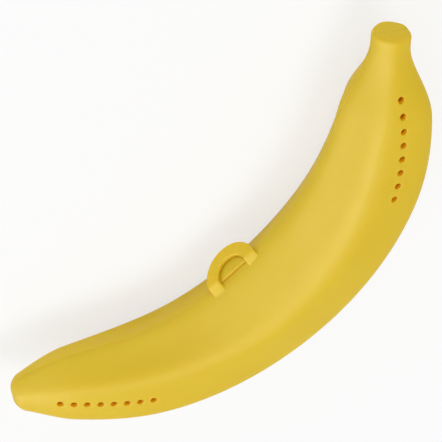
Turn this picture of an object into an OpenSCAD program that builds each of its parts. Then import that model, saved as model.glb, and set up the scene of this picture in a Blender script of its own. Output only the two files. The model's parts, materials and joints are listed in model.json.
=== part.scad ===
// Banana carrying case: two hinged half shells with rows of vents, a loop latch and a hinge pin.
// It lies on its side: Z is up, the stem is at -X, the hinge at +Y and the latch at -Y.

/* [Spine] */
// Length of the case along its curved centre line
spine_l = 275; // [240:1:320]
// Radius of the backward bend at the tip
tip_bend_r = 90; // [80:1:400]
// Radius of the bend a quarter of the way from the tip
lower_bend_r = 95; // [85:1:400]
// Radius of the bend halfway
middle_bend_r = 159; // [100:1:400]
// Radius of the bend three quarters of the way from the tip
upper_bend_r = 115; // [85:1:400]
// Radius of the backward bend at the stem
stem_bend_r = 260; // [80:1:400]

/* [Girth] */
// Half height at the tip's end
tip_r = 6.6; // [4.5:0.1:8]
// Half height at the nose
nose_r = 15.7; // [12:0.1:19]
// Half height at the lower body
lower_r = 20.9; // [17:0.1:26]
// Half height at the belly, the thickest place
belly_r = 24; // [18:0.1:28]
// Half height at the upper body
upper_r = 22.7; // [17:0.1:27]
// Half height at the shoulder
shoulder_r = 18.9; // [14:0.1:23]
// Half height at the neck
neck_r = 8; // [6:0.1:12]
// Half height at the stem's end
stem_r = 8; // [6:0.1:12]
// Distance of the nose from the tip's end
nose_at = 26; // [15:1:40]
// Distance of the lower body from the tip's end
lower_at = 74; // [60:1:100]
// Distance of the belly from the tip's end
belly_at = 145; // [120:1:165]
// Distance of the upper body from the stem's end
upper_at = 79; // [60:1:95]
// Distance of the shoulder from the stem's end
shoulder_at = 37.5; // [25:0.5:50]
// Distance of the neck from the stem's end
neck_at = 5.5; // [4:0.5:15]
// Rounding of the edge round the tip's end
tip_edge_r = 4.5; // [0.5:0.1:6]
// Rounding of the edge round the stem's end
stem_edge_r = 1.6; // [0.5:0.1:3]

/* [Section] */
// Crispness of the ridges between the five facets
facet_power = 7; // [4:0.5:14]
// Width of the section in the plane of the curve, for a height of 1
width_ratio = 0.95; // [0.8:0.01:1.1]
// How much of the facets is left at the ends, from 0 (round) to 1
end_facets = 0.35; // [0:0.05:1]
// Length over which the facets come in from the tip
tip_fade_l = 60; // [20:1:100]
// Length over which the facets come in from the stem
stem_fade_l = 35; // [20:1:100]
// Turn of the ridges towards the inner curve, from the tip on
tip_turn = 18; // [-30:1:30]
// Distance from the tip up to which that turn holds
tip_turn_at = 50; // [30:1:70]
// Turn of the ridges towards the inner curve at the shoulder
shoulder_turn = 8; // [-20:1:20]
// Distance of that turn from the stem's end
shoulder_turn_at = 50; // [30:1:70]
// Turn of the ridges towards the inner curve at the stem's end
stem_turn = -14; // [-30:1:30]
// Thickness of the walls
wall = 2; // [1.4:0.1:3]
// Thickness of the closed ends
end_wall = 3; // [2:0.1:6]
// Gap between the rims of the two halves
seam_gap = 0.2; // [0.1:0.05:0.6]

/* [Vents] */
// Vents in each row
vent_count = 8; // [1:1:8]
// Diameter of a vent
vent_d = 2.8; // [1:0.1:4]
// Distance of the first vent near the stem from the stem's end
stem_vent_at = 24.2; // [20:0.1:40]
// Spacing of the vents near the stem
stem_vent_pitch = 6.5; // [5:0.1:9]
// Place of the first vent near the stem round the section, in degrees from the top
stem_vent_angle = -2.4; // [-20:0.1:15]
// Turn of the row near the stem from one vent to the next, in degrees
stem_vent_turn = -1; // [-2:0.1:2]
// Distance of the first vent near the tip from the tip's end
tip_vent_at = 18.9; // [15:0.1:40]
// Spacing of the vents near the tip
tip_vent_pitch = 5.8; // [5:0.1:9]
// Place of the first vent near the tip round the section, in degrees from the top
tip_vent_angle = 7.7; // [-20:0.1:15]
// Turn of the row near the tip from one vent to the next, in degrees
tip_vent_turn = -1.7; // [-2:0.1:2]

/* [Hinge] */
// Length of the row of knuckles
hinge_l = 44; // [30:1:50]
// Knuckles in the row
knuckle_count = 5; // [3:2:7]
// Radius of a knuckle
knuckle_r = 3.4; // [2.6:0.1:5]
// Gap between neighbouring knuckles
knuckle_gap = 0.3; // [0.2:0.05:0.6]
// Gap between the knuckles and the wall behind them
knuckle_clearance = 0.6; // [0.4:0.1:2]
// Thickness of the leaf that carries a knuckle
leaf_t = 2.4; // [1.5:0.1:3]
// Diameter of the pin
pin_d = 2.4; // [1.5:0.1:3]
// Radius of the pin's heads
pin_head_r = 2.2; // [1.8:0.1:3]
// Thickness of the pin's heads
pin_head_t = 0.8; // [0.5:0.1:2]
// Radial clearance of the pin in the lower knuckles, which hold it
pin_seat_gap = 0.02; // [0.01:0.01:0.05]
// Radial clearance of the pin in the upper knuckles, which turn on it
pin_run_gap = 0.06; // [0.03:0.01:0.1]

/* [Latch] */
// Distance of the loop's middle from the tip's end
loop_at = 126.5; // [110:0.5:160]
// Outer radius of the loop
loop_r = 13.6; // [11:0.1:16]
// Depth of the loop's centre below the seam
loop_drop = 0.2; // [0:0.1:1.5]
// Radius of the loop's window
window_r = 7.6; // [6:0.1:9]
// Height of the window's centre above the seam
window_rise = 0.3; // [0:0.1:1]
// Thickness of the loop
loop_t = 2; // [1.8:0.1:3]
// Gap between the loop's legs and the edge of the lower shell
loop_stand = 0.4; // [0.3:0.1:1]
// Place of the straps' feet on the upper shell, in degrees from the top towards the inner curve
foot_angle = 83; // [80:0.5:87]
// Depth of the straps' ends below the seam
strap_drop = 1.2; // [0.8:0.1:2]
// Radius of the bead along the top of each leg
root_r = 0.9; // [0.5:0.1:0.9]
// Gap between the beads and the straps they hang from
root_gap = 0.3; // [0.2:0.05:0.6]
// Depth of the catch's upper edge below the seam
catch_drop = 0.4; // [0.3:0.1:1]
// Gap between the catch and the window's edge
catch_gap = 0.6; // [0.5:0.1:2]
// How far the catch's upper edge stands into the window
catch_bite = 0.3; // [0:0.1:0.4]
// Gap between the loop's back and the pad that carries the catch
pad_gap = 0.3; // [0.3:0.1:0.8]
// How far the pad reaches past the window's edge
pad_margin = 1.2; // [0.5:0.1:2]

/* [Hidden] */
$fn = 64;

shell_colour = [0.87, 0.73, 0.28];
loop_colour = [0.86, 0.71, 0.25];
steel_colour = [0.72, 0.72, 0.74];

// Fineness of the spine and of the shells' skins
spine_steps = 200;
body_rings = 40;
edge_rings = 3;
arc_steps = 20;

// Distances that shapes reach past each other to join or to cut cleanly
overlap = 0.4;
reach = 2;

// Directions that the five facets face, in degrees from the top towards the inner curve
facet_angles = [54, 126, -18, 198, -90];

// Smooth monotone curve through [place, value] pairs
function secant(p, i) = (p[i + 1][1] - p[i][1]) / (p[i + 1][0] - p[i][0]);
function mean_slope(a, b) = a * b <= 0 ? 0 : 2 * a * b / (a + b);
function slope(p, i) =
    i == 0 ? secant(p, 0)
    : i == len(p) - 1 ? secant(p, i - 1)
    : mean_slope(secant(p, i - 1), secant(p, i));
function span(p, at, i = 0) = i >= len(p) - 2 || at < p[i + 1][0] ? i : span(p, at, i + 1);
function through(p, at) =
    let (i = span(p, at), w = p[i + 1][0] - p[i][0], u = (at - p[i][0]) / w)
    (1 + 2 * u) * (1 - u) * (1 - u) * p[i][1] + u * (1 - u) * (1 - u) * w * slope(p, i)
    + u * u * (3 - 2 * u) * p[i + 1][1] + u * u * (u - 1) * w * slope(p, i + 1);

// Running totals of a list, starting from zero
function running(list, zero) =
    [for (i = 0, t = zero; i <= len(list); t = i < len(list) ? t + list[i] : t, i = i + 1) t];

// The spine: headings and points at even steps, level at its middle
bends = [
    [0, -1 / tip_bend_r],
    [spine_l / 4, 1 / lower_bend_r],
    [spine_l / 2, 1 / middle_bend_r],
    [spine_l * 3 / 4, 1 / upper_bend_r],
    [spine_l, -1 / stem_bend_r],
];
spine_step = spine_l / spine_steps;
turns = [for (i = [0 : spine_steps - 1]) through(bends, (i + 0.5) * spine_step) * spine_step * 180 / PI];
raw_headings = running(turns, 0);
headings = [for (h = raw_headings) h - raw_headings[spine_steps / 2]];
strides = [
    for (i = [0 : spine_steps - 1])
        let (h = (headings[i] + headings[i + 1]) / 2) [cos(h), sin(h)] * spine_step
];
raw_points = running(strides, [0, 0]);
spine_points = [for (p = raw_points) p - raw_points[spine_steps / 2]];

// Value at any distance along the spine from a list at even steps
function along(list, at) =
    let (u = at / spine_step, i = min(floor(u), spine_steps - 1))
    list[i] + (list[i + 1] - list[i]) * (u - i);

// Point in plan at a distance along the spine and a distance towards the inner curve
function plan(at, inward) =
    let (h = along(headings, at), p = along(spine_points, at))
    [-(p[0] - sin(h) * inward), -(p[1] + cos(h) * inward)];

// Half height of the section, with the edges of both ends rounded and some of the tip's end left flat
tip_round_r = min(tip_edge_r, 0.8 * tip_r);
girths = [
    [0, tip_r],
    [nose_at, nose_r],
    [lower_at, lower_r],
    [belly_at, belly_r],
    [spine_l - upper_at, upper_r],
    [spine_l - shoulder_at, shoulder_r],
    [spine_l - neck_at, neck_r],
    [spine_l, stem_r],
];
function edge_drop(d, r) = d >= r ? 0 : r - sqrt(r * r - (r - d) * (r - d));
function half_height(at) =
    through(girths, at) - edge_drop(at, tip_round_r) - edge_drop(spine_l - at, stem_edge_r);

// Rounded pentagon, and how much of it shows at a distance along the spine
function total(list, i = 0) = i == len(list) ? 0 : list[i] + total(list, i + 1);
function pentagon(angle) =
    pow(total([for (f = facet_angles) pow(max(0, cos(angle - f)), facet_power)]), -1 / facet_power);
function eased(u) = u >= 1 ? 1 : u * u * (3 - 2 * u);
function faceted(at) =
    end_facets + (1 - end_facets) * min(eased(at / tip_fade_l), eased((spine_l - at) / stem_fade_l));

// Turn of the ridges along the spine, which fades out towards the seam so that the halves meet
ridge_turns = [
    [0, tip_turn],
    [tip_turn_at, tip_turn],
    [spine_l / 2, 0],
    [spine_l - shoulder_turn_at, shoulder_turn],
    [spine_l, stem_turn],
];
function facet_size(at, angle) = pentagon(angle - through(ridge_turns, at) * cos(angle));

// Point of the section: distance towards the inner curve and height above the seam
function section(at, angle, depth = 0) =
    let (m = faceted(at), r = (half_height(at) - depth) * (1 - m + m * facet_size(at, angle)))
    [r * sin(angle) * (1 - m + m * width_ratio), r * cos(angle)];

// Point on the skin: distance along the spine, angle from the top, and depth below the outer surface
function skin(at, angle, depth = 0) =
    let (s = section(at, angle, depth), p = plan(at, s[0]))
    [p[0], p[1], max(s[1], seam_gap / 2)];

// Rings of points for one half shell, from the tip to the stem and from the outer seam to the inner seam
round_share = [for (i = [0 : edge_rings - 1]) 1 - cos(90 * i / edge_rings)];
body_l = spine_l - tip_round_r - stem_edge_r;
ring_at = concat(
    [for (i = [0 : edge_rings - 1]) tip_round_r * round_share[i]],
    [for (i = [0 : body_rings]) tip_round_r + body_l * i / body_rings],
    [for (i = [edge_rings - 1 : -1 : 0]) spine_l - stem_edge_r * round_share[i]]
);
inner_share = (spine_l - 2 * end_wall) / spine_l;
arc_angles = [for (i = [0 : arc_steps]) -90 + 180 * i / arc_steps];
outer_rings = [for (at = ring_at) [for (a = arc_angles) skin(at, a)]];
inner_rings = [for (at = ring_at) [for (a = arc_angles) skin(end_wall + at * inner_share, a, wall)]];

// Where the seam lies at the hinge
hinge_at = spine_l / 2;
outer_wall_y = skin(hinge_at, -90)[1];
axis_y = outer_wall_y + knuckle_clearance + knuckle_r;

// Latch sizes that follow from the loop: y is measured from the seam towards the hinge
seam_inward = section(loop_at, 90)[0];
leg_l = loop_r - window_r;
leg_middle = (loop_r + window_r) / 2;
inner_bend_r = 1 / through(bends, loop_at) - seam_inward;
leg_bow = loop_r * loop_r / (2 * inner_bend_r);
loop_back_y = -leg_bow - loop_stand;
loop_face_y = loop_back_y - loop_t;
root_y = loop_back_y - loop_t / 2;
root_z = -strap_drop - root_gap - root_r;
root_l = leg_l - 3 * overlap;
pad_y = loop_back_y + pad_gap;
function latch_wall(angle, depth) =
    let (s = section(loop_at, angle, depth)) [seam_inward - s[0], s[1]];

// Hinge sizes that follow from the row of knuckles
knuckle_l = (hinge_l - (knuckle_count - 1) * knuckle_gap) / knuckle_count;
function knuckle_x(i) = -hinge_l / 2 + i * (knuckle_l + knuckle_gap);

// The object's place: its box is centred in plan and stands on zero
skin_points = [for (ring = outer_rings) each ring];
skin_x = [for (p = skin_points) p[0]];
skin_y = [for (p = skin_points) p[1]];
shift_x = -(max(skin_x) + min(skin_x)) / 2;
shift_y = -(axis_y + knuckle_r + min(skin_y)) / 2;
lift = max([for (p = skin_points) p[2]]);

module placed() {
    translate([shift_x, shift_y, lift]) children();
}

// Local frame at the latch: x towards the tip, y towards the hinge, the seam at y = 0
module at_latch() {
    translate(concat(plan(loop_at, seam_inward), 0))
        rotate([0, 0, along(headings, loop_at)])
            children();
}

// One half of the case as a closed skin: outside, inside, rims and both ends
module half_skin() {
    rows = len(ring_at);
    cols = arc_steps + 1;
    last = rows - 1;
    tip_mid = (outer_rings[0][0] + outer_rings[0][arc_steps]) / 2;
    stem_mid = (outer_rings[last][0] + outer_rings[last][arc_steps]) / 2;
    tip_floor = (inner_rings[0][0] + inner_rings[0][arc_steps]) / 2;
    stem_floor = (inner_rings[last][0] + inner_rings[last][arc_steps]) / 2;
    points = concat(
        [for (ring = outer_rings) each ring],
        [for (ring = inner_rings) each ring],
        [tip_mid, stem_mid, tip_floor, stem_floor]
    );
    function o(j, i) = j * cols + i;
    function n(j, i) = rows * cols + j * cols + i;
    c_tip = 2 * rows * cols;
    c_stem = c_tip + 1;
    d_tip = c_tip + 2;
    d_stem = c_tip + 3;
    span_rows = [0 : last - 1];
    span_cols = [0 : arc_steps - 1];
    end = arc_steps;
    quads = concat(
        [for (j = span_rows, i = span_cols) [o(j, i), o(j, i + 1), o(j + 1, i + 1), o(j + 1, i)]],
        [for (j = span_rows, i = span_cols) [n(j, i), n(j + 1, i), n(j + 1, i + 1), n(j, i + 1)]],
        [for (j = span_rows) [o(j, 0), o(j + 1, 0), n(j + 1, 0), n(j, 0)]],
        [for (j = span_rows) [o(j, end), n(j, end), n(j + 1, end), o(j + 1, end)]],
        [
            [o(0, 0), n(0, 0), d_tip, c_tip],
            [c_tip, d_tip, n(0, arc_steps), o(0, arc_steps)],
            [o(last, 0), c_stem, d_stem, n(last, 0)],
            [c_stem, o(last, arc_steps), n(last, arc_steps), d_stem],
        ]
    );
    fans = [
        for (i = [0 : arc_steps - 1])
            each [
                [c_tip, o(0, i + 1), o(0, i)],
                [c_stem, o(last, i), o(last, i + 1)],
                [d_tip, n(0, i), n(0, i + 1)],
                [d_stem, n(last, i + 1), n(last, i)],
            ]
    ];
    triangles = [for (q = quads) each [[q[0], q[1], q[2]], [q[0], q[2], q[3]]]];
    polyhedron(points = points, faces = concat(triangles, fans));
}

// A vent runs straight up, the way the half leaves its mould
module vent(at, angle) {
    p = skin(at, angle);
    translate([p[0], p[1], p[2] - wall - reach])
        cylinder(d = vent_d, h = wall + 2 * reach);
}

module vents() {
    for (i = [0 : vent_count - 1]) {
        vent(spine_l - stem_vent_at - i * stem_vent_pitch, stem_vent_angle + i * stem_vent_turn);
        vent(tip_vent_at + i * tip_vent_pitch, tip_vent_angle + i * tip_vent_turn);
    }
}

// One half shell with its vents
module half_shell() {
    difference() {
        half_skin();
        vents();
    }
}

// Knuckles first, first + 2 and so on, with their leaves, for the upper half
module knuckles(first, bore_r) {
    for (i = [first : 2 : knuckle_count - 1]) {
        middle_x = knuckle_x(i) + knuckle_l / 2;
        wall_y = outer_wall_y - middle_x * middle_x / (2 * (middle_bend_r + outer_wall_y));
        leaf_y = wall_y - wall / 2;
        difference() {
            union() {
                translate([knuckle_x(i), axis_y, 0])
                    rotate([0, 90, 0])
                        cylinder(r = knuckle_r, h = knuckle_l);
                translate([knuckle_x(i), leaf_y, seam_gap / 2])
                    cube([knuckle_l, axis_y - leaf_y, leaf_t]);
            }
            translate([knuckle_x(i) - reach, axis_y, 0])
                rotate([0, 90, 0])
                    cylinder(r = bore_r, h = knuckle_l + 2 * reach);
        }
    }
}

// Shapes drawn as [y, z] and run along x, and shapes drawn as [x, z] and run from front to back
module along_x(from, length) {
    translate([from, 0, 0])
        rotate([90, 0, 90])
            linear_extrude(height = length)
                children();
}

module along_y(front, back) {
    translate([0, back, 0])
        rotate([90, 0, 0])
            linear_extrude(height = back - front)
                children();
}

// The two straps that carry the loop out over the seam, for the upper half
module straps() {
    profile = [
        latch_wall(foot_angle, wall / 2),
        latch_wall(foot_angle, 0),
        [loop_face_y, 0],
        [loop_face_y, -strap_drop],
        [loop_back_y, -strap_drop],
        [loop_back_y, seam_gap / 2],
        [latch_wall(90, wall / 2)[0], seam_gap / 2],
    ];
    at_latch()
        for (side = [-1, 1])
            along_x(side * leg_middle - leg_l / 2, leg_l)
                polygon(profile);
}

// A half disc with its straight edge up, from inside the wall out to a face that may slope,
// for the upper half
module half_disc_block(r, edge_y, low_y) {
    low = r - window_rise;
    profile = concat(
        [[latch_wall(90, wall / 2)[0], catch_drop], [edge_y, catch_drop], [low_y, low]],
        [for (angle = [66 : 4 : 86]) latch_wall(angle, wall / 2)]
    );
    intersection() {
        along_x(-r - reach, 2 * (r + reach)) polygon(profile);
        along_y(loop_face_y, loop_r)
            intersection() {
                translate([0, -window_rise]) circle(r = r);
                translate([-r - reach, catch_drop]) square([2 * (r + reach), r]);
            }
    }
}

// The pad behind the loop and the wedge on it that stands in the window, for the upper half
module catch() {
    at_latch() {
        half_disc_block(window_r + pad_margin, pad_y, pad_y);
        half_disc_block(window_r - catch_gap, loop_back_y - catch_bite, pad_y - overlap / 4);
    }
}

module bottom_shell() {
    color(shell_colour)
        placed()
            mirror([0, 0, 1]) {
                half_shell();
                knuckles(0, pin_d / 2 + pin_seat_gap);
                catch();
            }
}

module top_shell() {
    color(shell_colour)
        placed() {
            half_shell();
            knuckles(1, pin_d / 2 + pin_run_gap);
            straps();
        }
}

module hinge_pin() {
    color(steel_colour)
        placed()
            translate([-hinge_l / 2, axis_y, 0])
                rotate([0, 90, 0]) {
                    cylinder(d = pin_d, h = hinge_l);
                    translate([0, 0, -pin_head_t]) cylinder(r = pin_head_r, h = pin_head_t);
                    translate([0, 0, hinge_l]) cylinder(r = pin_head_r, h = pin_head_t);
                }
}

module latch_loop() {
    color(loop_colour)
        placed()
            at_latch() {
                along_y(loop_face_y, loop_back_y)
                    difference() {
                        intersection() {
                            translate([0, -loop_drop]) circle(r = loop_r);
                            translate([-loop_r, root_z - loop_r]) square([2 * loop_r, loop_r]);
                        }
                        translate([0, window_rise]) circle(r = window_r);
                    }
                for (side = [-1, 1])
                    translate([side * leg_middle - root_l / 2, root_y, root_z])
                        rotate([0, 90, 0])
                            cylinder(r = root_r, h = root_l);
            }
}

bottom_shell();
top_shell();
hinge_pin();
latch_loop();
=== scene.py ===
import json
import math

import bmesh
import bpy
import numpy as np
from mathutils import Matrix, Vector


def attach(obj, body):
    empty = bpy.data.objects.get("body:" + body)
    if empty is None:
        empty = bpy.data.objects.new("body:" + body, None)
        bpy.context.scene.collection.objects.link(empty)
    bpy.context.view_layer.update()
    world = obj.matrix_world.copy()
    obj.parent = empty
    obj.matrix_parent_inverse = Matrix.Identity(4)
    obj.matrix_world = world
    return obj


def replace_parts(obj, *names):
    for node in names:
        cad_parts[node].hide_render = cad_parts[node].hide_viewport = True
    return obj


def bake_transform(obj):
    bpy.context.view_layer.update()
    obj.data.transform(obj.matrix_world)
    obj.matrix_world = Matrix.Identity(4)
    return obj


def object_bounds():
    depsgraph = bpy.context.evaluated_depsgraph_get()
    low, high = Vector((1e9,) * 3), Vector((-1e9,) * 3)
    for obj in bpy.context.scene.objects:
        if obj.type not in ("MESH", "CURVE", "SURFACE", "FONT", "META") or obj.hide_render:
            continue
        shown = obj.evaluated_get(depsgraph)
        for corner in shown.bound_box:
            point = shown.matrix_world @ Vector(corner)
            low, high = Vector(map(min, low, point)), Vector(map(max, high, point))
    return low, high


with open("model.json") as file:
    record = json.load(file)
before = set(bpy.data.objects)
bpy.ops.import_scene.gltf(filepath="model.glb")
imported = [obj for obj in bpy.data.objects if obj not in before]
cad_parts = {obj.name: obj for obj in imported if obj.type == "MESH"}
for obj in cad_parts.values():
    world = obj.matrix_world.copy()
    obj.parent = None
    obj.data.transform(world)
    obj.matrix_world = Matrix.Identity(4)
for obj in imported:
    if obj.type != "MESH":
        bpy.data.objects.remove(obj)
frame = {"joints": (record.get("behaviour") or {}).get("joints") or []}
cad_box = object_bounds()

MM = 0.001

# Sizes are in millimetres and angles in degrees, as in the part's source

# Spine: its length, and the radii of its bends, negative where it bends outwards
SPINE_L = 275.0
SPINE_STEPS = 200
TIP_BEND_R = -90
LOWER_BEND_R = 95
MIDDLE_BEND_R = 159
UPPER_BEND_R = 115
STEM_BEND_R = -260
BENDS = [
    (0, 1 / TIP_BEND_R),
    (SPINE_L / 4, 1 / LOWER_BEND_R),
    (SPINE_L / 2, 1 / MIDDLE_BEND_R),
    (SPINE_L * 3 / 4, 1 / UPPER_BEND_R),
    (SPINE_L, 1 / STEM_BEND_R),
]

# Girth: half the section's width at places along the spine, and the roundings of the two ends
GIRTHS = [
    (0, 6.6),  # tip
    (26, 15.7),  # nose
    (74, 20.9),  # lower body
    (145, 24),  # belly
    (SPINE_L - 79, 22.7),  # upper body
    (SPINE_L - 37.5, 18.9),  # shoulder
    (SPINE_L - 5.5, 8),  # neck
    (SPINE_L, 8),  # stem
]
TIP_EDGE = 4.5
STEM_EDGE = 1.6

# Section: five soft facets that fade towards the ends
FACETS = np.radians([54, 126, -18, 198, -90])
FACET_POWER = 7.0
WIDTH_RATIO = 0.95
END_FACETS = 0.35
TIP_FADE = 60.0
STEM_FADE = 35.0

# How far the section's ridges turn towards the inner curve, at places along the spine
TURNS = [
    (0, 18),
    (50, 18),
    (SPINE_L / 2, 0),
    (SPINE_L - 50, 8),
    (SPINE_L, -14),
]

# Shells
WALL = 2.0
END_WALL = 3.0
SEAM_GAP = 0.2
RIM = 0.05  # height of the finished rims above the seam
RIM_ROUND = 0.12
HEIGHT_SHARE = 0.997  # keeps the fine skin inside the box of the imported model's flat facets
BODY_RINGS = 230
EDGE_RINGS = 7
ARC_POINTS = 85

# Vents: each row starts at a place, steps along the spine and turns about it
VENTS = 8
VENT_R = 1.4
STEM_VENT_AT = SPINE_L - 24.2
STEM_VENT_PITCH = -6.5
STEM_VENT_ANGLE = -2.4
STEM_VENT_TURN = -1.0
TIP_VENT_AT = 18.9
TIP_VENT_PITCH = 5.8
TIP_VENT_ANGLE = 7.7
TIP_VENT_TURN = -1.7
# A mouth's flare: heights over the skin, and how far it is past the vent's radius there
MOUTH = [(-0.5, -0.1), (-0.42, 0), (-0.25, 0.06), (-0.12, 0.16), (0, 0.34), (0.3, 1)]

# Hinge
HINGE_L = 44.0
KNUCKLES = 5
KNUCKLE_R = 3.4
KNUCKLE_GAP = 0.3
KNUCKLE_CLEARANCE = 0.6
KNUCKLE_ROUND = 0.4
KNUCKLE_TRIM = 0.005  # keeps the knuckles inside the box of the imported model
LEAF_T = 2.4
PIN_R = 1.2
PIN_GAP = 0.03
PIN_HEAD_R = 2.2
PIN_HEAD_T = 0.8

# Latch loop
LOOP_AT = 126.5
LOOP_R = 13.6
LOOP_DROP = 0.2
LOOP_T = 2.0
LOOP_STAND = 0.4
LOOP_FRONT_ROUND = 0.75
LOOP_BACK_ROUND = 0.35
WINDOW_R = 7.6
WINDOW_RISE = 0.3
BEND_AT = -1.0  # height at which the straps start to bend
BEND_L = 6.4  # height of the legs above that, before they are bent
STEM_FLARE = 1.4  # extra width of the stem side's leg at its foot
FOOT_FLARE = 0.1613  # share by which both legs widen at their feet
FOOT_FLARE_FROM = 0.45  # share of a leg's height at which that starts

# Curves of the straps, as points (towards the hinge, up) from the seam
FRONT_BEND = [(0, 0.1), (0.95, 0.92)]  # control and end of the front's lower bend, from the loop's face
FRONT_RISE = [(-1.0, 1.98), (-0.1, 2.72)]  # start and control of its upper bend
TIP_FOOT = (0.5, 3.2)  # end of the upper bend on the tip side
STEM_FOOT = (0.7, 3.9)  # end of the upper bend on the stem side
FOOT_RUN = (0.6, 1.0)  # from there into the upper half's wall
BACK_BEND = [(0, 0.2), (0.6, 0.22)]  # control and end of the back's bend, from the loop's back
BACK_RUN = [(0.3, 0.26), (0.9, 0.5)]  # from there into the upper half's wall

# Catch on the lower half
CATCH_DROP = 0.4
CATCH_GAP = 0.6
CATCH_BITE = 0.3
CATCH_SINK = 0.1
CATCH_ROUND = 0.3
CATCH_SLIDE = -0.5  # the wedge is smaller than the window and lies towards its stem side
PAD_GAP = 0.3
PAD_MARGIN = 1.2
PAD_ROUND = 0.25

# Mesh making
CUT_REACH = 2.0  # how far a cutter runs past what it cuts
SLIVER = 0.003  # edges shorter than this, left by cuts, are taken out
SAME_POINT = 0.0001  # points nearer than this are joined


# The case's form: a curved spine with a section that swells, thins and turns from round to five-sided

def through(pairs, at):
    """Smooth monotone curve through (place, value) pairs."""
    x, y = np.array(pairs, float).T
    secant = np.diff(y) / np.diff(x)
    a, b = secant[:-1], secant[1:]
    same = a * b > 0
    inner = np.where(same, 2 * a * b / np.where(same, a + b, 1), 0)
    slope = np.concatenate([secant[:1], inner, secant[-1:]])
    at = np.asarray(at, float)
    i = np.clip(np.searchsorted(x, at, side="right") - 1, 0, len(x) - 2)
    w = x[i + 1] - x[i]
    u = (at - x[i]) / w
    return ((1 + 2 * u) * (1 - u) ** 2 * y[i] + u * (1 - u) ** 2 * w * slope[i]
            + u * u * (3 - 2 * u) * y[i + 1] + u * u * (u - 1) * w * slope[i + 1])


def curved_spine():
    """Places along the spine, its heading there and its points in plan, about its middle."""
    step = SPINE_L / SPINE_STEPS
    middle = SPINE_STEPS // 2
    at = np.arange(SPINE_STEPS + 1) * step
    heading = np.concatenate([[0], np.cumsum(through(BENDS, at[:-1] + step / 2) * step)])
    heading -= heading[middle]
    mean = (heading[:-1] + heading[1:]) / 2
    strides = np.stack([np.cos(mean), np.sin(mean)], -1) * step
    points = np.concatenate([[[0, 0]], np.cumsum(strides, axis=0)])
    return at, heading, points - points[middle]


spine_at, headings, spine = curved_spine()


def plan(at, inward):
    """Point in plan at a distance along the spine and a distance towards the inner curve."""
    h = np.interp(at, spine_at, headings)
    x = np.interp(at, spine_at, spine[:, 0])
    y = np.interp(at, spine_at, spine[:, 1])
    return -(x - np.sin(h) * inward), -(y + np.cos(h) * inward)


def edge_drop(d, r):
    """How much an end's rounding takes off the girth at a distance from that end."""
    return np.where(d >= r, 0, r - np.sqrt(np.maximum(r * r - (r - np.minimum(d, r)) ** 2, 0)))


def eased(u):
    """A share from 0 to 1 with a soft start and end."""
    u = np.clip(u, 0, 1)
    return u * u * (3 - 2 * u)


def section(at, angle, depth=0.0):
    """Distance towards the inner curve and height above the seam, at an angle from the top."""
    at, angle = np.asarray(at, float), np.asarray(angle, float)
    half = through(GIRTHS, at) - edge_drop(at, TIP_EDGE) - edge_drop(SPINE_L - at, STEM_EDGE)
    fade = np.minimum(eased(at / TIP_FADE), eased((SPINE_L - at) / STEM_FADE))
    facets = END_FACETS + (1 - END_FACETS) * fade
    turn = np.radians(through(TURNS, at)) * np.cos(angle)
    facing = np.maximum(np.cos((angle - turn)[..., None] - FACETS), 0) ** FACET_POWER
    pentagon = facing.sum(-1) ** (-1 / FACET_POWER)
    r = (half - depth) * (1 - facets + facets * pentagon)
    return r * np.sin(angle) * (1 - facets + facets * WIDTH_RATIO), r * np.cos(angle) * HEIGHT_SHARE


def skin(at, angle, depth=0.0):
    """Points on the upper half's skin, a depth below its outer surface."""
    inward, height = section(at, angle, depth)
    x, y = plan(at, inward)
    return np.stack(np.broadcast_arrays(x, y, np.maximum(height, RIM)), -1)


def skin_normal(at, angle, step=0.5, turn=0.02):
    """Direction out of the upper half's skin, not of unit length."""
    along = skin(at + step, angle) - skin(at - step, angle)
    across = skin(at, angle + turn) - skin(at, angle - turn)
    out = np.cross(along, across)
    return out * np.sign(out[2])


outer_wall_y = float(skin(SPINE_L / 2, -math.pi / 2)[1])
axis_y = outer_wall_y + KNUCKLE_CLEARANCE + KNUCKLE_R

# The hinge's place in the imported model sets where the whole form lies
lid_hinge = next(j for j in frame["joints"] if j["name"] == "lid_hinge")
SHIFT = np.array(lid_hinge["pos_m"]) / MM - [0, axis_y, 0]
PLAN_LO, PLAN_HI = (np.array(corner[:2]) / MM - SHIFT[:2] for corner in cad_box)

seam_inward = float(section(LOOP_AT, math.pi / 2)[0])
latch_heading = float(np.interp(LOOP_AT, spine_at, headings))
latch_base = np.array(plan(LOOP_AT, seam_inward))
inner_bend_r = 1 / float(through(BENDS, LOOP_AT)) - seam_inward
loop_back = -LOOP_R ** 2 / (2 * inner_bend_r) - LOOP_STAND
loop_face = loop_back - LOOP_T
pad_face = loop_back + PAD_GAP


def at_latch(p):
    """Points of the latch's own frame, with x towards the tip, y towards the hinge and the seam at y = 0."""
    p = np.asarray(p, float)
    c, s = math.cos(latch_heading), math.sin(latch_heading)
    x = latch_base[0] + c * p[..., 0] - s * p[..., 1]
    y = latch_base[1] + s * p[..., 0] + c * p[..., 1]
    return np.stack([x, y, p[..., 2]], -1)


# Mesh helpers

def piece(name, points, faces, material):
    """A mesh object from points in millimetres about the form's own middle."""
    mesh = bpy.data.meshes.new(name)
    mesh.from_pydata(((np.asarray(points, float).reshape(-1, 3) + SHIFT) * MM).tolist(), [], faces)
    bm = bmesh.new()
    bm.from_mesh(mesh)
    bmesh.ops.remove_doubles(bm, verts=bm.verts, dist=SAME_POINT * MM)
    bmesh.ops.recalc_face_normals(bm, faces=bm.faces)
    bm.to_mesh(mesh)
    bm.free()
    obj = bpy.data.objects.new(name, mesh)
    bpy.context.scene.collection.objects.link(obj)
    if material is not None:
        mesh.materials.append(material)
    return obj


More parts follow.
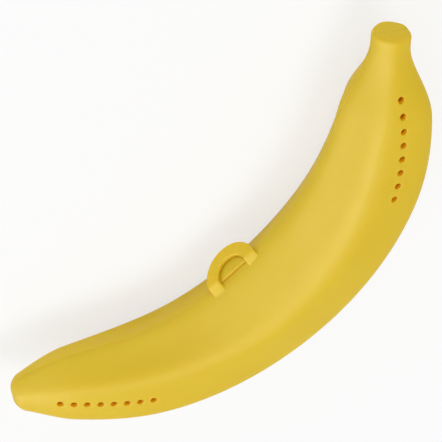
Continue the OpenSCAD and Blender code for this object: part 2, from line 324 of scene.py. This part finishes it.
def settle(obj):
    """Applies a piece's modifiers to its mesh."""
    bpy.context.view_layer.update()
    graph = bpy.context.evaluated_depsgraph_get()
    mesh = bpy.data.meshes.new_from_object(obj.evaluated_get(graph))
    old = obj.data
    obj.modifiers.clear()
    obj.data = mesh
    bpy.data.meshes.remove(old)
    mesh.name = obj.name


def smooth(obj, degrees=38):
    """Smooth shading, with edges sharper than the angle kept and slivers left by cuts taken out."""
    bm = bmesh.new()
    bm.from_mesh(obj.data)
    bmesh.ops.triangulate(bm, faces=[f for f in bm.faces if len(f.verts) > 4])
    bmesh.ops.dissolve_degenerate(bm, dist=SLIVER * MM, edges=bm.edges)
    for f in bm.faces:
        f.smooth = True
    for e in bm.edges:
        e.smooth = len(e.link_faces) != 2 or e.calc_face_angle(0) < math.radians(degrees)
    bm.to_mesh(obj.data)
    bm.free()


def bevel(obj, width, segments=2, degrees=55):
    """Rounds the edges that are sharper than the angle."""
    m = obj.modifiers.new("edges", "BEVEL")
    m.width = width * MM
    m.segments = segments
    m.limit_method = "ANGLE"
    m.angle_limit = math.radians(degrees)
    settle(obj)


def cut(obj, cutter):
    """Takes a cutter's form out of a piece, which gets the cutter's material there."""
    m = obj.modifiers.new("cut", "BOOLEAN")
    m.operation = "DIFFERENCE"
    m.solver = "EXACT"
    m.material_mode = "TRANSFER"
    m.object = cutter
    settle(obj)
    mesh = cutter.data
    bpy.data.objects.remove(cutter)
    bpy.data.meshes.remove(mesh)


def grid_faces(rows, cols, first=0, closed=False):
    """Faces of a grid of points in rows, each row closed into a loop or left open."""
    span = cols if closed else cols - 1
    return [(first + j * cols + i, first + j * cols + (i + 1) % cols,
             first + (j + 1) * cols + (i + 1) % cols, first + (j + 1) * cols + i)
            for j in range(rows - 1) for i in range(span)]


def lofted(name, forms, material):
    """Closed skins, each through loops of equally many points, with a flat cap at each end."""
    points, faces = [], []
    first = 0
    for loops in forms:
        loops = np.asarray(loops, float)
        rows, cols = loops.shape[:2]
        last = first + (rows - 1) * cols
        faces += grid_faces(rows, cols, first, closed=True)
        faces += [tuple(range(first, first + cols)), tuple(range(last, last + cols))]
        points.append(loops.reshape(-1, 3))
        first += rows * cols
    return piece(name, np.concatenate(points), faces, material)


def inset(loop, d):
    """A closed plane outline, drawn anticlockwise, moved inwards by d."""
    a = loop - np.roll(loop, 1, 0)
    b = np.roll(loop, -1, 0) - loop
    na = np.stack([-a[:, 1], a[:, 0]], -1) / np.linalg.norm(a, axis=1)[:, None]
    nb = np.stack([-b[:, 1], b[:, 0]], -1) / np.linalg.norm(b, axis=1)[:, None]
    return loop + d * (na + nb) / (1 + (na * nb).sum(1))[:, None]


def turned(profile, centre, axis, segments=40):
    """Loops of a turned form: (distance along the axis, radius) pairs about a line."""
    axis = np.asarray(axis, float) / np.linalg.norm(axis)
    side = np.cross(axis, [0, 0, 1] if abs(axis[2]) < 0.9 else [1, 0, 0])
    side /= np.linalg.norm(side)
    other = np.cross(axis, side)
    a = np.linspace(0, 2 * math.pi, segments, endpoint=False)
    ring = np.cos(a)[:, None] * side + np.sin(a)[:, None] * other
    return [np.asarray(centre) + axis * h + ring * r for h, r in profile]


# Materials

# A Mix node's colour sockets share their names with its others, so they are given by number
MIX_FACTOR, MIX_A, MIX_B, MIX_RESULT = 0, 6, 7, 2


def linear(colour):
    """Colour sockets take linear values: these are given as they look on a screen, from 0 to 255."""
    c = np.array(colour) / 255
    return (*np.where(c <= 0.04045, c / 12.92, ((c + 0.055) / 1.055) ** 2.4).tolist(), 1.0)


def grey(value):
    return (value, value, value, 1.0)


def node(tree, kind, **values):
    """A new node with its inputs or its own settings set by name."""
    n = tree.nodes.new(kind)
    for key, value in values.items():
        if key in n.inputs.keys():
            n.inputs[key].default_value = value
        else:
            setattr(n, key, value)
    return n


def ramp(tree, source, stops):
    """A colour ramp with (place, linear colour) stops."""
    n = tree.nodes.new("ShaderNodeValToRGB")
    while len(n.color_ramp.elements) < len(stops):
        n.color_ramp.elements.new(0.5)
    for e, (place, colour) in zip(n.color_ramp.elements, stops):
        e.position = place
        e.color = colour
    tree.links.new(source, n.inputs["Fac"])
    return n


def map_range(tree, source, old, new):
    """A value moved from one range to another."""
    n = tree.nodes.new("ShaderNodeMapRange")
    n.inputs["From Min"].default_value, n.inputs["From Max"].default_value = old
    n.inputs["To Min"].default_value, n.inputs["To Max"].default_value = new
    tree.links.new(source, n.inputs["Value"])
    return n


def new_material(name):
    m = bpy.data.materials.new(name)
    m.use_nodes = True
    return m, m.node_tree, m.node_tree.nodes["Principled BSDF"]


def satin_plastic(name, clouds, worn, glow, through_share=0.3):
    """Moulded satin plastic, with slight clouds in its colour, a fine grain and paler edges.

    Some light passes through its walls and comes out in the colour of the glow.
    """
    m, tree, shader = new_material(name)
    place = tree.nodes.new("ShaderNodeTexCoord").outputs["Object"]
    cloud = node(tree, "ShaderNodeTexNoise", Scale=16.0, Detail=4.0, Roughness=0.55)
    flow = node(tree, "ShaderNodeTexNoise", Scale=110.0, Detail=3.0, Roughness=0.6)
    grain = node(tree, "ShaderNodeTexNoise", Scale=2600.0, Detail=2.0, Roughness=0.5)
    for n in (cloud, flow, grain):
        tree.links.new(place, n.inputs["Vector"])

    low, mid, high = (linear(c) for c in clouds)
    colour = ramp(tree, cloud.outputs["Fac"], [(0.3, low), (0.5, mid), (0.72, high)])
    pointiness = tree.nodes.new("ShaderNodeNewGeometry").outputs["Pointiness"]
    edge = ramp(tree, pointiness, [(0.515, grey(0.0)), (0.6, grey(0.5))])
    wear = node(tree, "ShaderNodeMix", data_type="RGBA")
    wear.inputs[MIX_B].default_value = linear(worn)
    tree.links.new(edge.outputs["Color"], wear.inputs[MIX_FACTOR])
    tree.links.new(colour.outputs["Color"], wear.inputs[MIX_A])
    tree.links.new(wear.outputs[MIX_RESULT], shader.inputs["Base Color"])

    sheen = map_range(tree, flow.outputs["Fac"], (0.3, 0.7), (0.5, 0.6))
    tree.links.new(sheen.outputs["Result"], shader.inputs["Roughness"])
    rough = node(tree, "ShaderNodeBump", Strength=0.05, Distance=0.0001)
    tree.links.new(grain.outputs["Fac"], rough.inputs["Height"])
    tree.links.new(rough.outputs["Normal"], shader.inputs["Normal"])

    through_light = node(tree, "ShaderNodeBsdfTranslucent", Color=linear(glow))
    both = node(tree, "ShaderNodeMixShader", Fac=through_share)
    tree.links.new(shader.outputs["BSDF"], both.inputs[1])
    tree.links.new(through_light.outputs["BSDF"], both.inputs[2])
    tree.links.new(both.outputs["Shader"], tree.nodes["Material Output"].inputs["Surface"])
    shader.inputs["IOR"].default_value = 1.49
    shader.inputs["Specular IOR Level"].default_value = 0.4
    shader.inputs["Subsurface Weight"].default_value = 0.2
    shader.inputs["Subsurface Radius"].default_value = (1.0, 0.5, 0.06)
    shader.inputs["Subsurface Scale"].default_value = 0.0022
    return m


def drawn_steel(name):
    """Steel wire with fine lines along its length."""
    m, tree, shader = new_material(name)
    place = node(tree, "ShaderNodeMapping", Scale=(60.0, 2200.0, 2200.0))
    tree.links.new(tree.nodes.new("ShaderNodeTexCoord").outputs["Object"], place.inputs["Vector"])
    lines = node(tree, "ShaderNodeTexNoise", Scale=1.0, Detail=3.0, Roughness=0.6)
    tree.links.new(place.outputs["Vector"], lines.inputs["Vector"])
    dark, bright = linear((168, 168, 172)), linear((205, 205, 208))
    colour = ramp(tree, lines.outputs["Fac"], [(0.3, dark), (0.7, bright)])
    tree.links.new(colour.outputs["Color"], shader.inputs["Base Color"])
    gloss = map_range(tree, lines.outputs["Fac"], (0.0, 1.0), (0.22, 0.42))
    tree.links.new(gloss.outputs["Result"], shader.inputs["Roughness"])
    shader.inputs["Metallic"].default_value = 1.0
    return m


YELLOW = satin_plastic(
    "yellow_plastic",
    clouds=[(234, 212, 34), (237, 216, 41), (240, 220, 49)],
    worn=(245, 228, 80),
    glow=(255, 196, 20),
)
# The vents' walls are painted a deeper, brighter yellow than the shells: painted light for the light that
# has crossed the plastic and comes out there. They also let more light through
VENT_WALL_PAINTED_GLOW = satin_plastic(
    "vent_wall_painted_glow",
    clouds=[(248, 216, 14), (250, 220, 18), (252, 224, 24)],
    worn=(250, 225, 60),
    glow=(255, 228, 20),
    through_share=0.7,
)
# The loop is a shade paler than the shells: painted light that lifts its shaded face
LOOP_PAINTED_LIGHT = satin_plastic(
    "loop_plastic",
    clouds=[(241, 217, 34), (244, 221, 42), (247, 225, 50)],
    worn=(248, 231, 88),
    glow=(255, 196, 20),
)
STEEL = drawn_steel("pin_steel")


# The two half shells

def ring_places():
    """Places of the skin's rings along the spine, closer at the rounded ends."""
    share = 1 - np.cos(np.linspace(0, math.pi / 2, EDGE_RINGS, endpoint=False))
    body = np.linspace(TIP_EDGE, SPINE_L - STEM_EDGE, BODY_RINGS + 1)
    return np.concatenate([TIP_EDGE * share, body, (SPINE_L - STEM_EDGE * share)[::-1]])


def vent_row(at, pitch, angle, turn):
    """Place along the spine and angle from the top of each vent in a row."""
    i = np.arange(VENTS)
    return np.stack([at + pitch * i, np.radians(angle + turn * i)], -1)


VENT_PLACES = np.concatenate([
    vent_row(STEM_VENT_AT, STEM_VENT_PITCH, STEM_VENT_ANGLE, STEM_VENT_TURN),
    vent_row(TIP_VENT_AT, TIP_VENT_PITCH, TIP_VENT_ANGLE, TIP_VENT_TURN),
])


def shell_skin(name, flip):
    """A half shell without its vents: an outer and an inner skin, joined along the rim."""
    at = ring_places()
    inner_at = END_WALL + at * (SPINE_L - 2 * END_WALL) / SPINE_L
    angles = np.radians(np.linspace(-90, 90, ARC_POINTS))
    outer = skin(at[:, None], angles[None, :])
    inner = skin(inner_at[:, None], angles[None, :], WALL)
    rows, cols = outer.shape[:2]
    n, last = rows * cols, (rows - 1) * cols
    faces = grid_faces(rows, cols) + grid_faces(rows, cols, n)
    for i in (0, cols - 1):
        rim = i + cols * np.arange(rows)
        faces += [(int(a), int(b), int(n + b), int(n + a)) for a, b in zip(rim, rim[1:])]
    for first in (0, last, n, n + last):
        faces.append(tuple(range(first, first + cols)))
    for first in (0, last):
        faces.append((first, first + cols - 1, n + first + cols - 1, n + first))
    points = np.concatenate([outer.reshape(-1, 3), inner.reshape(-1, 3)]) * flip
    points[:, :2] = np.clip(points[:, :2], PLAN_LO, PLAN_HI)
    return piece(name, points, faces, YELLOW)


def half_shell(name, side, body):
    """One half of the case, side 1 for the upper half and -1 for the lower."""
    flip = np.array([1, 1, side])
    shell = shell_skin(name, flip)
    bevel(shell, RIM_ROUND)
    bore = [(-WALL - CUT_REACH, VENT_R), (CUT_REACH, VENT_R)]
    flare = [(height, VENT_R + past) for height, past in MOUTH]
    holes, mouths = [], []
    for at, angle in VENT_PLACES:
        p = skin(at, angle) * flip
        holes.append(turned(bore, p, [0, 0, side]))
        mouths.append(turned(flare, p, skin_normal(at, angle) * flip))
    # the holes' walls take the vent walls' material, with its painted glow
    cut(shell, lofted("holes", holes, VENT_WALL_PAINTED_GLOW))
    cut(shell, lofted("mouths", mouths, YELLOW))
    smooth(shell)
    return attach(shell, body)


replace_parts(half_shell("upper_half", 1, "lid"), "top_shell")
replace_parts(half_shell("lower_half", -1, "base"), "bottom_shell")


# The hinge: knuckles with their leaves, and the pin

def knuckle_outline(leaf_y, arc_points=64):
    """A knuckle's round and its leaf, which reaches into the wall just above the seam, as (y, z) points."""
    low, high = SEAM_GAP / 2, SEAM_GAP / 2 + LEAF_T
    r = KNUCKLE_R - KNUCKLE_TRIM
    start = -math.pi - math.asin(low / KNUCKLE_R)
    end = math.pi - math.asin(high / KNUCKLE_R)
    a = np.linspace(start, end, arc_points)
    arc = np.stack([axis_y + r * np.cos(a), r * np.sin(a)], -1)
    return np.concatenate([arc, [[leaf_y, high], [leaf_y, low]]])


def knuckle(i):
    """Every other knuckle belongs to the upper half."""
    side, body = (1, "lid") if i % 2 else (-1, "base")
    length = (HINGE_L - (KNUCKLES - 1) * KNUCKLE_GAP) / KNUCKLES
    start = -HINGE_L / 2 + i * (length + KNUCKLE_GAP)
    end = start + length
    middle = start + length / 2
    wall_y = outer_wall_y - middle ** 2 / (2 * (MIDDLE_BEND_R + outer_wall_y))
    outline = knuckle_outline(wall_y - WALL / 2)
    rounding = np.linspace(0, math.pi / 2, 5)
    insets = KNUCKLE_ROUND * (1 - np.sin(rounding))
    steps_in = KNUCKLE_ROUND * (1 - np.cos(rounding))
    places = [*zip(insets, start + steps_in), *zip(insets[::-1], end - steps_in[::-1])]
    loops = []
    for d, x in places:
        yz = inset(outline, d)
        loops.append(np.stack([np.full(len(yz), x), yz[:, 0], yz[:, 1] * side], -1))
    obj = lofted(f"knuckle_{i}", [loops], YELLOW)
    bore = [(start - CUT_REACH, PIN_R + PIN_GAP), (end + CUT_REACH, PIN_R + PIN_GAP)]
    cut(obj, lofted("bore", [turned(bore, [0, axis_y, 0], [1, 0, 0], segments=32)], None))
    smooth(obj)
    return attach(obj, body)


for i in range(KNUCKLES):
    knuckle(i)


def hinge_rivet(first_angle=0.01, dome_points=9, neck=0.01):
    """The pin, with a domed head at each end."""
    half = HINGE_L / 2
    angles = np.linspace(first_angle, math.pi / 2, dome_points)
    dome = [(-half - PIN_HEAD_T * math.cos(a), PIN_HEAD_R * math.sin(a)) for a in angles]
    shank = [(-half + neck, PIN_R), (half - neck, PIN_R)]
    profile = dome + shank + [(-h, r) for h, r in dome[::-1]]
    pin = lofted("hinge_rivet", [turned(profile, [0, axis_y, 0], [1, 0, 0])], STEEL)
    smooth(pin, degrees=50)
    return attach(pin, "base")


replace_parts(hinge_rivet(), "hinge_pin")


# The latch: a loop that hangs on two bent straps from the upper half, and a catch on the lower half

def bezier(a, b, c, n=12):
    """Points on the curve from a to c with the control point b."""
    t = np.linspace(0, 1, n)[:, None]
    return (1 - t) ** 2 * np.array(a) + 2 * t * (1 - t) * np.array(b) + t * t * np.array(c)


def evenly(points):
    """A path as a function of the share of its length."""
    d = np.concatenate([[0], np.cumsum(np.linalg.norm(np.diff(points, axis=0), axis=1))])
    d /= d[-1]
    return lambda t: np.stack([np.interp(t, d, points[:, 0]), np.interp(t, d, points[:, 1])], -1)


def bend_from(y, bend):
    """The lower bend of a strap's front or back, which lies at y below the bend."""
    control, end = np.array(bend) + [y, 0]
    return bezier((y, BEND_AT), control, end)


def front_path(foot):
    """A strap's front, from the loop's face over the bend to a foot that runs out on the upper half."""
    foot = np.array(foot)
    return evenly(np.concatenate([
        bend_from(loop_face, FRONT_BEND),
        bezier(*FRONT_RISE, foot),
        [foot + FOOT_RUN],
    ]))


tip_front = front_path(TIP_FOOT)
stem_front = front_path(STEM_FOOT)
back = evenly(np.concatenate([bend_from(loop_back, BACK_BEND), BACK_RUN]))


def strap_point(x, w, depth):
    """Place on the bent loop: across it, up it as if it were flat, and through it, back (0) to front (1)."""
    t = np.clip((w - BEND_AT) / BEND_L, 0, 1)
    f = np.where((x > 0)[:, None], tip_front(t), stem_front(t))
    b = back(t)
    straight = w < BEND_AT
    f[straight] = np.stack([np.full(straight.sum(), loop_face), w[straight]], -1)
    b[straight] = np.stack([np.full(straight.sum(), loop_back), w[straight]], -1)
    yz = b + (f - b) * depth[:, None]
    return np.stack([x, yz[:, 0], yz[:, 1]], -1)


def rounded_band(n=6):
    """The band's section: places across it, as a side and a rounding in millimetres, and through it."""
    t = np.linspace(0, math.pi / 2, n)
    corners = [
        (1, 0, LOOP_BACK_ROUND, -math.pi / 2),
        (1, 1, LOOP_FRONT_ROUND, 0),
        (-1, 1, LOOP_FRONT_ROUND, math.pi / 2),
        (-1, 0, LOOP_BACK_ROUND, math.pi),
    ]
    across, through_it = [], []
    for side, front, r, start in corners:
        a = start + t
        across.append(np.stack([np.full(n, side), r * (np.cos(a) - side)], -1))
        through_it.append((front * LOOP_T + r * (np.sin(a) - (1 if front else -1))) / LOOP_T)
    return np.concatenate(across), np.concatenate(through_it)


def leg_edges(side, k):
    """A leg's edges beside the window and outside, at a share of its height, side 1 towards the tip."""
    top = BEND_AT + BEND_L
    flare = STEM_FLARE * eased(k) if side < 0 else 0
    near = (side * WINDOW_R, WINDOW_RISE + k * (top - WINDOW_RISE))
    far = (side * LOOP_R - flare, -LOOP_DROP + k * (top + LOOP_DROP))
    return near, far, k


def ring_edges(angle):
    """The ring's edges round the window and outside, at an angle."""
    c, s = math.cos(angle), math.sin(angle)
    return (WINDOW_R * c, WINDOW_RISE + WINDOW_R * s), (LOOP_R * c, -LOOP_DROP + LOOP_R * s), 0


def latch_tab(leg_points=26, ring_points=91):
    """The loop: down one leg, round the ring and up the other leg."""
    rise = np.linspace(0, 1, leg_points)
    stations = [leg_edges(-1, k) for k in rise[:0:-1]]
    stations += [ring_edges(a) for a in np.linspace(math.pi, 2 * math.pi, ring_points)]
    stations += [leg_edges(1, k) for k in rise[1:]]
    across, depth = rounded_band()
    loops = []
    for near, far, k in stations:
        near, far = np.array(near), np.array(far)
        middle, half = (near + far) / 2, (far - near) / 2
        unit = half / np.linalg.norm(half)
        wider = 1 + FOOT_FLARE * (max(0, k - FOOT_FLARE_FROM) / (1 - FOOT_FLARE_FROM)) ** 2
        xw = middle + across[:, :1] * half * wider + across[:, 1:] * unit
        loops.append(at_latch(strap_point(xw[:, 0], xw[:, 1], depth)))
    # the loop takes the paler plastic, which is painted light
    tab = lofted("latch_tab", [loops], LOOP_PAINTED_LIGHT)
    smooth(tab)
    return tab


tab = latch_tab()
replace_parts(tab, "latch_loop")
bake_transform(tab)


def wall_at(drop, depth):
    """How far the lower half's wall lies in from the seam, at a drop below it and a depth in the wall."""
    angle = np.radians(np.linspace(90, 50, 41))
    inward, height = section(LOOP_AT, angle, depth)
    return np.interp(drop, height, seam_inward - inward)


def half_disc_outline(r, arc_points=61, edge_points=12):
    """A half disc's outline, with its straight edge just below the seam, as (x, drop below it) points."""
    start = math.asin((CATCH_DROP + WINDOW_RISE) / r)
    a = np.linspace(start, math.pi - start, arc_points)
    arc = np.stack([r * np.cos(a), -WINDOW_RISE + r * np.sin(a)], -1)
    edge = np.linspace(arc[-1], arc[0], edge_points + 2)[1:-1]
    return np.concatenate([arc, edge])


def half_disc(name, r, edge_y, low_y, edge_r, slide=0.0):
    """A half disc under the seam, from inside the wall out to a face that may slope."""
    outline = half_disc_outline(r)
    low = r - WINDOW_RISE
    middle = np.array([0, CATCH_DROP + low / 2])

    def face(xz, back=0.0):
        """Points on the sloping face, or a distance behind it."""
        y = edge_y + (low_y - edge_y) * (xz[:, 1] - CATCH_DROP) / (low - CATCH_DROP)
        return np.stack([xz[:, 0], y + back, -xz[:, 1]], -1)

    loops = [np.stack([outline[:, 0], wall_at(outline[:, 1], WALL / 2), -outline[:, 1]], -1)]
    for t in np.linspace(math.pi / 2, 0, 6):
        loops.append(face(inset(outline, edge_r * (1 - math.sin(t))), edge_r * (1 - math.cos(t))))
    for share in (0.75, 0.5, 0.25):
        loops.append(face(middle + (inset(outline, edge_r) - middle) * share))
    obj = lofted(name, [at_latch(np.array(loops) + [slide, 0, 0])], YELLOW)
    smooth(obj)
    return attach(obj, "base")


half_disc("catch_pad", WINDOW_R + PAD_MARGIN, pad_face, pad_face, PAD_ROUND)
wedge_r = WINDOW_R - CATCH_GAP / 2 - abs(CATCH_SLIDE)
half_disc("catch_wedge", wedge_r, loop_back - CATCH_BITE, pad_face - CATCH_SINK, CATCH_ROUND, CATCH_SLIDE)


# Stage: a plain pale floor, soft light and the camera, in metres

FLOOR_HALF = 4.0
FLOOR_GLOW = 0.68  # share of the floor's look that is plain white, so that the rest keeps the shadow
SKY_STRENGTH = 0.63
LAMP_AIM = (0, 0, 0.02)
CAMERA_AT = (-0.23204, -0.466485, 0.531767)
CAMERA_AIM = (0.00529, -0.010777, 0)
CAMERA_ROLL = 156.225
CAMERA_LENS = 135.414
CAMERA_SENSOR = 36

scene = bpy.context.scene
scene.view_settings.view_transform = "Standard"


def background_rays(tree):
    """1 for rays that show the background: the camera's own, and those by reflection or through glass."""
    path = tree.nodes.new("ShaderNodeLightPath")
    shown = path.outputs["Is Camera Ray"]
    for kind in ("Is Glossy Ray", "Is Transmission Ray"):
        either = node(tree, "ShaderNodeMath", operation="MAXIMUM")
        tree.links.new(shown, either.inputs[0])
        tree.links.new(path.outputs[kind], either.inputs[1])
        shown = either.outputs[0]
    return shown


def mixed_surface(tree, share, first, second, output):
    """Shows a mix of two shaders."""
    mix = tree.nodes.new("ShaderNodeMixShader")
    tree.links.new(share, mix.inputs["Fac"])
    tree.links.new(first, mix.inputs[1])
    tree.links.new(second, mix.inputs[2])
    tree.links.new(mix.outputs[0], tree.nodes[output].inputs["Surface"])


def pale_paper():
    """Pale paper with faint flecks, close to white where the background shows."""
    m, tree, shader = new_material("pale_paper")
    shader.inputs["Roughness"].default_value = 0.9
    shader.inputs["Specular IOR Level"].default_value = 0.1
    fleck = node(tree, "ShaderNodeTexNoise", Scale=40.0, Detail=3.0)
    tone = ramp(tree, fleck.outputs["Fac"], [(0.3, grey(0.93)), (0.7, grey(0.95))])
    tree.links.new(tone.outputs["Color"], shader.inputs["Base Color"])
    white = node(tree, "ShaderNodeEmission", Strength=1.0, Color=grey(1.0))
    share = node(tree, "ShaderNodeMath", operation="MULTIPLY")
    share.inputs[1].default_value = FLOOR_GLOW
    tree.links.new(background_rays(tree), share.inputs[0])
    mixed_surface(tree, share.outputs[0], shader.outputs[0], white.outputs[0], "Material Output")
    return m


def floor():
    s = FLOOR_HALF
    mesh = bpy.data.meshes.new("floor")
    mesh.from_pydata([(-s, -s, 0), (s, -s, 0), (s, s, 0), (-s, s, 0)], [], [(0, 1, 2, 3)])
    mesh.materials.append(pale_paper())
    obj = bpy.data.objects.new("floor", mesh)
    scene.collection.objects.link(obj)
    return obj


floor()


def studio_sky():
    """Soft light from all round, white where the background shows."""
    scene.world = bpy.data.worlds.new("studio")
    scene.world.use_nodes = True
    tree = scene.world.node_tree
    sky = tree.nodes["Background"]
    sky.inputs["Color"].default_value = grey(1.0)
    sky.inputs["Strength"].default_value = SKY_STRENGTH
    white = node(tree, "ShaderNodeBackground", Strength=1.0, Color=grey(1.0))
    mixed_surface(tree, background_rays(tree), sky.outputs[0], white.outputs[0], "World Output")


studio_sky()


def facing(place, aim, roll=0.0):
    """Matrix of a lamp or camera at a place that looks at a point, rolled about its own axis."""
    z = np.array(place, float) - np.array(aim, float)
    z /= np.linalg.norm(z)
    x = np.cross([0, 0, 1], z)
    x /= np.linalg.norm(x)
    y = np.cross(z, x)
    c, s = math.cos(math.radians(roll)), math.sin(math.radians(roll))
    m = np.eye(4)
    m[:3, 0], m[:3, 1], m[:3, 2], m[:3, 3] = c * x + s * y, c * y - s * x, z, place
    return Matrix(m.tolist())


def lamp(name, place, size, watts, sheen_only=False):
    """A round soft lamp, which may light the gloss alone."""
    data = bpy.data.lights.new(name, "AREA")
    data.shape = "DISK"
    data.size = size
    data.energy = watts
    obj = bpy.data.objects.new(name, data)
    scene.collection.objects.link(obj)
    obj.matrix_world = facing(place, LAMP_AIM)
    obj.visible_diffuse = not sheen_only
    obj.visible_transmission = not sheen_only


lamp("key", place=(1.1, -0.3, 1.15), size=0.9, watts=2.75)
lamp("front", place=(-0.3, -1.4, 0.35), size=0.9, watts=2.9)
lamp("top", place=(0.0, 0.3, 1.5), size=0.9, watts=6.2)
lamp("sheen_card", place=(0.8, -0.8, 1.15), size=2.4, watts=46, sheen_only=True)
lamp("sheen_side", place=(1.4, -0.7, 0.6), size=1.6, watts=20, sheen_only=True)


def photo_camera():
    data = bpy.data.cameras.new("camera")
    data.lens = CAMERA_LENS
    data.sensor_width = CAMERA_SENSOR
    data.clip_start = 0.01
    obj = bpy.data.objects.new("camera", data)
    scene.collection.objects.link(obj)
    obj.matrix_world = facing(CAMERA_AT, CAMERA_AIM, CAMERA_ROLL)
    return obj


scene.camera = photo_camera()
